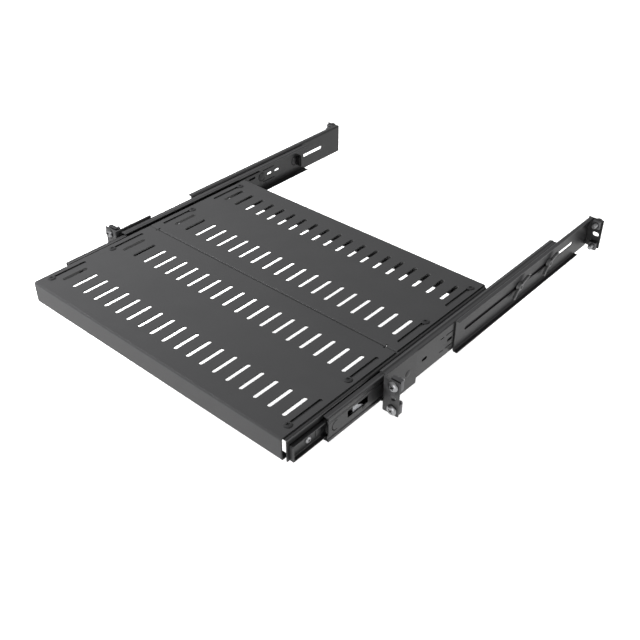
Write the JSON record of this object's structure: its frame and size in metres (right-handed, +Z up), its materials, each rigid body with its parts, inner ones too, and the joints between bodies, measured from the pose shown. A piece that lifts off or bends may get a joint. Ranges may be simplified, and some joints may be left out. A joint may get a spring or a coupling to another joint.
{
  "type": "sliding rack shelf",
  "caption": "Vented two-panel rack tray on ball-bearing slides with fixed front ears and adjustable slotted rear brackets.",
  "frame": {"origin": "midway between the two front posts, on the plane where the front ears meet the posts, at the height of the ears' middle holes", "axes": "+X to the right seen from the front, +Y to the rear of the rack, +Z up"},
  "size_m": [0.48, 0.5831, 0.0448],
  "materials": {
    "powder_coat": "satin black powder coat",
    "slide_black": "satin black coated steel",
    "black_screw": "black oxide",
    "zinc": "zinc plated",
    "ball_steel": "polished",
    "black_rubber": "matt"
  },
  "bodies": {
    "rack_side": {"cabinet_member_left": "slide_black", "front_bracket_left": "powder_coat", "bracket_rivets_left": "black_screw", "front_screws_left": "zinc", "front_nuts_left": "zinc", "carriage_bolts_left": "black_screw", "stop_pad_left": "black_rubber", "cabinet_member_right": "slide_black", "front_bracket_right": "powder_coat", "bracket_rivets_right": "black_screw", "front_screws_right": "zinc", "front_nuts_right": "zinc", "carriage_bolts_right": "black_screw", "stop_pad_right": "black_rubber"},
    "tray": {"side_member_left": "powder_coat", "inner_member_left": "slide_black", "inner_screws_left": "zinc", "side_member_right": "powder_coat", "inner_member_right": "slide_black", "inner_screws_right": "zinc", "tray_front_panel": "powder_coat", "tray_rear_panel": "powder_coat", "panel_screws": "black_screw"},
    "latch_left": {"latch_lever_left": "zinc"},
    "intermediate_left": {"intermediate_member_left": "slide_black", "bumper_left": "black_rubber", "lever_pivot_left": "black_screw"},
    "inner_cage_left": {"inner_cage_left": "zinc", "inner_balls_left": "ball_steel"},
    "outer_cage_left": {"outer_cage_left": "zinc", "outer_balls_left": "ball_steel"},
    "rear_bracket_left": {"rear_bracket_left": "powder_coat", "rear_screws_left": "zinc", "rear_nuts_left": "zinc"},
    "wing_nut_front_left": {"wing_nut_front_left": "black_screw"},
    "wing_nut_rear_left": {"wing_nut_rear_left": "black_screw"},
    "latch_right": {"latch_lever_right": "zinc"},
    "intermediate_right": {"intermediate_member_right": "slide_black", "bumper_right": "black_rubber", "lever_pivot_right": "black_screw"},
    "inner_cage_right": {"inner_cage_right": "zinc", "inner_balls_right": "ball_steel"},
    "outer_cage_right": {"outer_cage_right": "zinc", "outer_balls_right": "ball_steel"},
    "rear_bracket_right": {"rear_bracket_right": "powder_coat", "rear_screws_right": "zinc", "rear_nuts_right": "zinc"},
    "wing_nut_front_right": {"wing_nut_front_right": "black_screw"},
    "wing_nut_rear_right": {"wing_nut_rear_right": "black_screw"}
  },
  "joints": [
    {"name": "tray_slide", "type": "slide", "parent": "rack_side", "child": "tray", "axis": [0, -1, 0], "range_m": [-0.133, 0.167]},
    {"name": "intermediate_left_slide", "type": "slide", "parent": "rack_side", "child": "intermediate_left", "axis": [0, -1, 0], "range_m": [-0.08512, 0.10688]},
    {"name": "inner_cage_left_slide", "type": "slide", "parent": "rack_side", "child": "inner_cage_left", "axis": [0, -1, 0], "range_m": [-0.10906, 0.13694]},
    {"name": "outer_cage_left_slide", "type": "slide", "parent": "rack_side", "child": "outer_cage_left", "axis": [0, -1, 0], "range_m": [-0.04256, 0.05344]},
    {"name": "rear_bracket_left_slide", "type": "slide", "parent": "rack_side", "child": "rear_bracket_left", "axis": [0, 1, 0], "range_m": [-0.06, 0.11]},
    {"name": "wing_nut_front_left_spin", "type": "hinge", "parent": "rack_side", "child": "wing_nut_front_left", "pos_m": [-0.2235, 0.264, 0], "axis": [-1, 0, 0], "continuous": true},
    {"name": "wing_nut_rear_left_spin", "type": "hinge", "parent": "rack_side", "child": "wing_nut_rear_left", "pos_m": [-0.2235, 0.335, 0], "axis": [-1, 0, 0], "continuous": true},
    {"name": "latch_left_tilt", "type": "hinge", "parent": "intermediate_left", "child": "latch_left", "pos_m": [-0.2129, -0.027, -0.0052], "axis": [1, 0, 0], "range_deg": [-4, 4], "stiffness_Nm_per_rad": 0.05},
    {"name": "intermediate_right_slide", "type": "slide", "parent": "rack_side", "child": "intermediate_right", "axis": [0, -1, 0], "range_m": [-0.08512, 0.10688]},
    {"name": "inner_cage_right_slide", "type": "slide", "parent": "rack_side", "child": "inner_cage_right", "axis": [0, -1, 0], "range_m": [-0.10906, 0.13694]},
    {"name": "outer_cage_right_slide", "type": "slide", "parent": "rack_side", "child": "outer_cage_right", "axis": [0, -1, 0], "range_m": [-0.04256, 0.05344]},
    {"name": "rear_bracket_right_slide", "type": "slide", "parent": "rack_side", "child": "rear_bracket_right", "axis": [0, 1, 0], "range_m": [-0.06, 0.11]},
    {"name": "wing_nut_front_right_spin", "type": "hinge", "parent": "rack_side", "child": "wing_nut_front_right", "pos_m": [0.2235, 0.264, 0], "axis": [1, 0, 0], "continuous": true},
    {"name": "wing_nut_rear_right_spin", "type": "hinge", "parent": "rack_side", "child": "wing_nut_rear_right", "pos_m": [0.2235, 0.335, 0], "axis": [1, 0, 0], "continuous": true},
    {"name": "latch_right_tilt", "type": "hinge", "parent": "intermediate_right", "child": "latch_right", "pos_m": [0.2129, -0.027, -0.0052], "axis": [1, 0, 0], "range_deg": [-4, 4], "stiffness_Nm_per_rad": 0.05}
  ],
  "couplings": [
    {"joint": "intermediate_left_slide", "follows": "tray_slide", "ratio": 0.64},
    {"joint": "inner_cage_left_slide", "follows": "tray_slide", "ratio": 0.82},
    {"joint": "outer_cage_left_slide", "follows": "tray_slide", "ratio": 0.32},
    {"joint": "intermediate_right_slide", "follows": "tray_slide", "ratio": 0.64},
    {"joint": "inner_cage_right_slide", "follows": "tray_slide", "ratio": 0.82},
    {"joint": "outer_cage_right_slide", "follows": "tray_slide", "ratio": 0.32}
  ]
}
